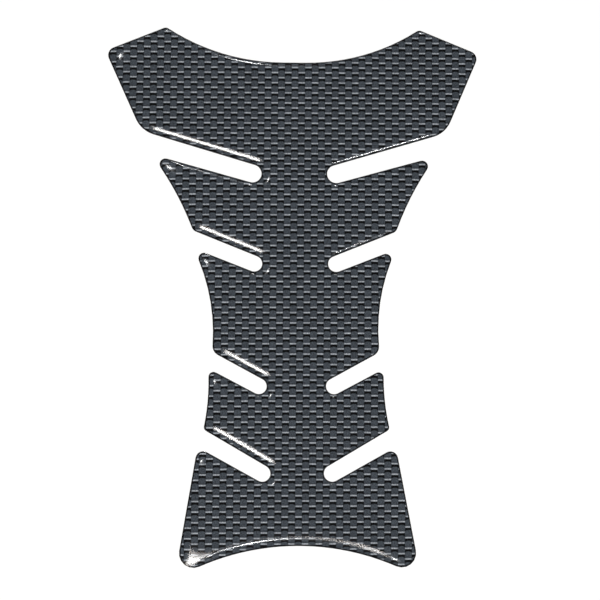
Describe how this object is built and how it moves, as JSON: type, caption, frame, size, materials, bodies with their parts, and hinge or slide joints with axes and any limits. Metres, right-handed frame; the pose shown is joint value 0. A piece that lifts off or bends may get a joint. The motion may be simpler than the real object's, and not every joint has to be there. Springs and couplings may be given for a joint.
{
  "type": "motorcycle tank pad",
  "caption": "Flat self-adhesive tank pad: a carbon-look film cut to a ribbed spine shape with slanted slots, under a clear domed resin coat.",
  "frame": {"origin": "under the middle of the pad's outline, on the adhesive back", "axes": "+Z out of the resin face, +Y along the pad towards its broad end with the two horns, +X across"},
  "size_m": [0.1336, 0.195, 0.0019],
  "materials": {
    "carbon_print": "printed vinyl film with a dark grey woven carbon pattern and adhesive on its back",
    "clear_resin": "clear poured polyurethane, high gloss, with a rounded meniscus at every edge"
  },
  "bodies": {
    "root": {"carbon_film": "carbon_print", "clear_dome": "clear_resin"}
  },
  "joints": []
}
